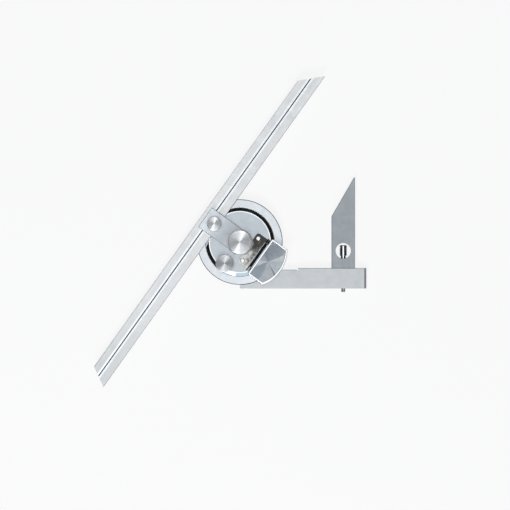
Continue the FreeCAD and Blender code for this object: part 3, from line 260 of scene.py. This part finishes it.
def metal(name, colour, roughness, grain=None, turned=None, edge=0.16 * MM, patches=0.04, extra=None):
    """Steel, chrome or brass.

    grain: (angle, streak length, streak width, strength) of brushing or grinding.
    turned: the axis of a lathe-turned face, whose marks run round it.
    edge: radius to which edges look rounded; a painted highlight also makes them a little brighter.
    extra: a function (graph, spot, colour, roughness) that returns the last two as finished."""
    material = bpy.data.materials.new(name)
    material.use_nodes = True
    graph = Graph(material.node_tree)
    shader = graph.tree.nodes.new("ShaderNodeBsdfPrincipled")
    out = graph.tree.nodes.new("ShaderNodeOutputMaterial")
    graph.feed(out.inputs[0], shader.outputs[0])
    shader.inputs["Metallic"].default_value = 1.0
    spot = graph.node("ShaderNodeTexCoord").outputs["Object"]

    cloud = graph.noise(spot, CLOUD_SCALE, 2.0)
    shade = graph.step(cloud, 0.3, 0.7, 1 - patches, 1 + patches, "LINEAR")
    smear = graph.noise(spot, SMEAR_SCALE, 3.0)
    rough = graph.step(smear, 0.3, 0.7, roughness - 0.03, roughness + 0.04, "LINEAR")
    height = graph.noise(spot, TOOTH_SCALE, 2.0)
    if grain:
        angle, length, width, strength = grain
        lay = graph.tree.nodes.new("ShaderNodeMapping")
        graph.feed(lay.inputs["Vector"], spot)
        lay.vector_type = "TEXTURE"
        lay.inputs["Rotation"].default_value = (0, 0, angle)
        lay.inputs["Scale"].default_value = (length, width, width)
        fine = graph.noise(lay.outputs[0], 1.0, 4.0, 0.7)
        broad = graph.noise(lay.outputs[0], 0.13, 3.0, 0.6)
        streaks = graph.math("MULTIPLY_ADD", broad, 0.5, graph.math("MULTIPLY", fine, 0.5))
        brushed = graph.step(streaks, 0.3, 0.7, 1 - strength, 1 + strength, "LINEAR")
        shade = graph.math("MULTIPLY", shade, brushed)
        height = fine
    if turned is not None:
        arm = graph.vector("SUBTRACT", spot, tuple(turned))
        flat = graph.vector("MULTIPLY", arm, (1, 1, 0))
        ray = graph.vector("NORMALIZE", flat)
        rays = graph.noise(ray, 7.0, 4.0, 0.75)
        spokes = graph.step(rays, 0.32, 0.68, 0.86, 1.07, "LINEAR")
        shade = graph.math("MULTIPLY", shade, spokes)
        radius = graph.vector("LENGTH", flat)
        rings = graph.node("ShaderNodeCombineXYZ", X=radius)
        height = graph.noise(rings.outputs[0], RING_SCALE, 3.0)
        shader.inputs["Anisotropic"].default_value = 0.93
        to_world = {"vector_type": "VECTOR", "convert_from": "OBJECT", "convert_to": "WORLD"}
        tangent = graph.node("ShaderNodeVectorTransform", to_world)
        graph.feed(tangent.inputs[0], ray)
        graph.feed(shader.inputs["Tangent"], tangent.outputs[0])

    base = graph.node("ShaderNodeRGB")
    base.outputs[0].default_value = colour
    painted = base.outputs[0]
    if extra:
        painted, rough = extra(graph, spot, painted, rough)
    grey = graph.node("ShaderNodeCombineColor", Red=shade, Green=shade, Blue=shade)
    painted = graph.mix(1.0, painted, grey.outputs[0], "MULTIPLY")

    rounded = graph.node("ShaderNodeBevel", {"samples": 6}, Radius=edge)
    straight = graph.node("ShaderNodeNewGeometry").outputs["Normal"]
    turn = graph.vector("DOT_PRODUCT", rounded.outputs[0], straight)
    # Painted highlight: edges are painted brighter where the rounded normal turns away
    edge_highlight = graph.step(turn, 0.86, 0.995, 0.35, 0.0)
    painted = graph.mix(edge_highlight, painted, EDGE_HIGHLIGHT)
    bump = graph.node("ShaderNodeBump", Strength=0.12, Distance=BUMP_DEPTH, Height=height)
    graph.feed(bump.inputs["Normal"], rounded.outputs[0])
    graph.feed(shader.inputs["Normal"], bump.outputs[0])
    graph.feed(shader.inputs["Base Color"], painted)
    graph.feed(shader.inputs["Roughness"], rough)
    return material


def paint(*names, material):
    """Gives CAD nodes their material."""
    for name in names:
        slots = nodes[name].data.materials
        slots.clear()
        slots.append(material)


# (angle, streak length, streak width, strength)
LENGTHWAYS = (0.0, 22 * MM, 0.16 * MM, 0.05)
ALONG_BLADE = (blade_angle, 30 * MM, 0.16 * MM, 0.05)
UPRIGHT = (math.radians(90), 22 * MM, 0.16 * MM, 0.05)
CROSSWAYS = (math.radians(20), 12 * MM, 0.14 * MM, 0.03)


def near(graph, value, middle, half, blur):
    """1 where the value is within half of the middle, and 0 outside it."""
    away = graph.math("ABSOLUTE", graph.math("SUBTRACT", value, middle))
    return graph.step(away, half - blur, half + blur, 1, 0)


def radius_from(graph, spot, axis=(0, 0, 0)):
    arm = graph.vector("SUBTRACT", spot, tuple(axis))
    return graph.vector("LENGTH", graph.vector("MULTIPLY", arm, (1, 1, 0)))


def along_blade(graph, spot):
    return graph.vector("DOT_PRODUCT", spot, tuple(blade_way))


def across_blade(graph, spot):
    """Distance from the swivel axis towards the blade."""
    return graph.vector("DOT_PRODUCT", spot, tuple(UP.cross(blade_way)))


disc_face_r = 24.4 * MM  # the disc's flat top
groove_y = 29.25 * MM  # middle of the blade's groove
ring_outer_r = reach_of("dial_body")
stock_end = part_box("stock")[1].x
hinge_y = hinge_axis.dot(UP.cross(blade_way))  # below zero, since the hinge is opposite the blade

WHITE = (0.95, 0.97, 1.0, 1)
BLACK = (0.012, 0.014, 0.018, 1)


def disc_polish_and_painted_highlight(graph, spot, colour, rough):
    """A painted highlight, a bright line painted where the disc's flat top meets its polished bevel, and
    the bevel's own polish.
    """
    radius = radius_from(graph, spot)
    # Painted highlight: a white line just inside the edge of the flat top
    line = near(graph, radius, disc_face_r - 0.4 * MM, 0.3 * MM, 0.12 * MM)
    bevel = graph.step(radius, disc_face_r - 0.05 * MM, disc_face_r + 0.05 * MM)
    colour = graph.mix(bevel, colour, (0.42, 0.5, 0.58, 1))
    return graph.mix(line, colour, WHITE), graph.mix(bevel, rough, (0.12, 0.12, 0.12, 1))


def dial_painted_dark_rim(graph, spot, colour, rough):
    """A painted dark reflection on the ring's outer chamfer outlines the dial."""
    edge = graph.step(radius_from(graph, spot), ring_outer_r - 0.62 * MM, ring_outer_r - 0.42 * MM)
    return graph.mix(edge, colour, (0.09, 0.1, 0.12, 1)), rough


def blade_painted_groove_and_darker_end(graph, spot, colour, rough):
    """Painted shade, a dark line at the bottom of the groove between two painted highlight lines; and
    darker towards one end.
    """
    away = across_blade(graph, spot)
    # Painted shade at the groove's bottom, and painted highlights beside it
    line = near(graph, away, groove_y, 0.5 * MM, 0.15 * MM)
    groove_highlight = near(graph, away, groove_y, 1.75 * MM, 0.2 * MM)
    # Darker towards one end
    darker_end = graph.step(along_blade(graph, spot), -150 * MM, -70 * MM, 1, 0)
    colour = graph.mix(darker_end, colour, srgb(198, -0.01))
    colour = graph.mix(groove_highlight, colour, WHITE)
    return graph.mix(line, colour, (0.06, 0.065, 0.075, 1)), rough


def stock_finish(graph, spot, colour, rough):
    """The bevel at the right end is left matt."""
    end = graph.step(graph.split(spot)[0], stock_end - 1.7 * MM, stock_end - 1.55 * MM)
    return colour, graph.mix(end, rough, (0.95, 0.95, 0.95, 1))


def frame_painted_hinge_band(graph, spot, colour, rough):
    """The hinge barrel carries a painted dark reflection, a black band between two bright edges."""
    # Painted dark reflection: a black band along the hinge barrel
    barrel = near(graph, across_blade(graph, spot), hinge_y, 1.12 * MM, 0.1 * MM)
    return graph.mix(barrel, colour, BLACK), rough


def bracket_finish(graph, spot, colour, rough):
    """Dark chrome, smoky at its upper ear and brighter towards the lower one."""
    smoke = graph.noise(spot, 210.0, 3.0, 0.65)
    drift = graph.step(along_blade(graph, spot), -14 * MM, 13 * MM, 0.22, -0.22, "LINEAR")
    level = graph.math("ADD", smoke, drift)
    dark = graph.step(level, 0.35, 0.75)
    return graph.mix(dark, srgb(62, 0.03), srgb(186, 0.01)), rough


def arm_finish(graph, spot, colour, rough):
    """Paler at its outer end, over the blade."""
    outer = graph.step(across_blade(graph, spot), 12 * MM, 31 * MM)
    return graph.mix(outer, colour, srgb(214, -0.025)), rough


stock_steel = metal("stock_steel", srgb(192, -0.012), 0.36, LENGTHWAYS, extra=stock_finish)
blade_steel = metal("blade_steel", srgb(214, -0.006), 0.36, ALONG_BLADE, extra=blade_painted_groove_and_darker_end)
attachment_steel = metal("attachment_steel", srgb(158, -0.03), 0.38, UPRIGHT)
satin_chrome = metal("satin_chrome", srgb(226, -0.018), 0.42, CROSSWAYS, extra=dial_painted_dark_rim)
disc_chrome = metal("disc_chrome", srgb(190, -0.03), 0.34, CROSSWAYS, extra=disc_polish_and_painted_highlight)
arm_steel = metal("arm_steel", srgb(180, -0.03), 0.36, CROSSWAYS, extra=arm_finish)
bright_chrome = metal("bright_chrome", srgb(240, -0.01), 0.1, patches=0.02)
frame_chrome = metal(
    "frame_chrome",
    srgb(243, -0.01),
    0.08,
    edge=0.62 * MM,
    patches=0.02,
    extra=frame_painted_hinge_band,
)
dark_chrome = metal("dark_chrome", srgb(140, 0.01), 0.2, CROSSWAYS, extra=bracket_finish)
turned_steel = metal("turned_steel", srgb(170), 0.3)
black_steel = metal("black_steel", srgb(70, -0.02), 0.35)
brass = metal("brass", (0.72, 0.5, 0.21, 1), 0.3)
bronze = metal("bronze", (0.6, 0.36, 0.18, 1), 0.35)
nut_face = metal("nut_face", srgb(243, -0.005), 0.5, turned=(0, 0, 0), patches=0.02)
feed_face = metal("feed_face", srgb(238, -0.01), 0.6, turned=feed_axis, patches=0.02)
clamp_face = metal("clamp_face", srgb(243, -0.005), 0.5, turned=clamp_axis, patches=0.02)

paint("stock", material=stock_steel)
paint("blade", material=blade_steel)
paint("acute_attachment", material=attachment_steel)
paint("dial_body", "vernier_plate", material=satin_chrome)
paint("swivel_disc", material=disc_chrome)
paint("clamp_arm", material=arm_steel)
paint("lens_frame", material=frame_chrome)
paint("hinge_rod", "bracket_screws", "barrel_nut", material=bright_chrome)
paint("magnifier_bracket", material=dark_chrome)
paint("pivot_stud", "lock_washer", "pinion_shaft", material=turned_steel)
paint("attachment_bolt", "vernier_screws", material=turned_steel)
paint("stock_screws", "arm_screws", "knob_grub_screw", material=black_steel)
paint("ring_gear", "pinion_bush", "clamp_shoe", material=brass)
paint("thrust_washer", "hinge_washers", material=bronze)
paint("centre_lock_nut", material=nut_face)
paint("fine_feed_knob", material=feed_face)
paint("blade_clamp_screw", material=clamp_face)


# Glass: pale facets of painted light and shade round a star, painted reflections as a domed magnifier
# shows them

STAR = turret @ Vector((0, -27 * MM, 0))
# Light and dark sectors round the star: (degrees from +X, level, blueness)
SECTORS = (
    (0, 236, 0.02),
    (18, 247, 0.01),
    (26, 196, 0.05),
    (70, 184, 0.06),
    (105, 168, 0.07),
    (125, 206, 0.05),
    (160, 214, 0.04),
    (176, 244, 0.01),
    (196, 240, 0.02),
    (205, 186, 0.06),
    (238, 196, 0.06),
    (252, 222, 0.03),
    (292, 226, 0.03),
    (298, 150, 0.07),
    (305, 230, 0.03),
    (345, 222, 0.03),
)


def glass(name):
    material = bpy.data.materials.new(name)
    material.use_nodes = True
    graph = Graph(material.node_tree)
    shader = graph.tree.nodes.new("ShaderNodeBsdfPrincipled")
    out = graph.tree.nodes.new("ShaderNodeOutputMaterial")
    graph.feed(out.inputs[0], shader.outputs[0])
    spot = graph.node("ShaderNodeTexCoord").outputs["Object"]
    arm = graph.vector("SUBTRACT", spot, tuple(STAR))
    east, north, _ = graph.split(arm)
    turn = graph.math("DIVIDE", graph.math("ARCTAN2", north, east), 2 * math.pi)
    wobble = graph.step(graph.noise(spot, 160.0, 2.0), 0.3, 0.7, -0.012, 0.012, "LINEAR")
    turn = graph.math("FRACT", graph.math("ADD", turn, graph.math("ADD", wobble, 1.0)))
    ramp = graph.tree.nodes.new("ShaderNodeValToRGB")
    ramp.color_ramp.interpolation = "EASE"
    stops = ramp.color_ramp.elements
    for number, (degrees, level, blueness) in enumerate(SECTORS):
        stop = stops[number] if number < 2 else stops.new(degrees / 360)
        stop.position = degrees / 360
        stop.color = srgb(level, -blueness)
    graph.feed(ramp.inputs[0], turn)
    soft = graph.step(graph.noise(spot, 300.0, 3.0), 0.3, 0.7, 0.9, 1.08, "LINEAR")
    grey = graph.node("ShaderNodeCombineColor", Red=soft, Green=soft, Blue=soft)
    light_colour = graph.mix(1.0, ramp.outputs[0], grey.outputs[0], "MULTIPLY")
    # The base colour carries the painted reflections: light and dark sectors round the star
    graph.feed(shader.inputs["Base Color"], light_colour)
    shader.inputs["Roughness"].default_value = 0.05
    shader.inputs["Transmission Weight"].default_value = 0.3
    shader.inputs["IOR"].default_value = 1.49
    return material


paint("lens", material=glass("lens_glass"))
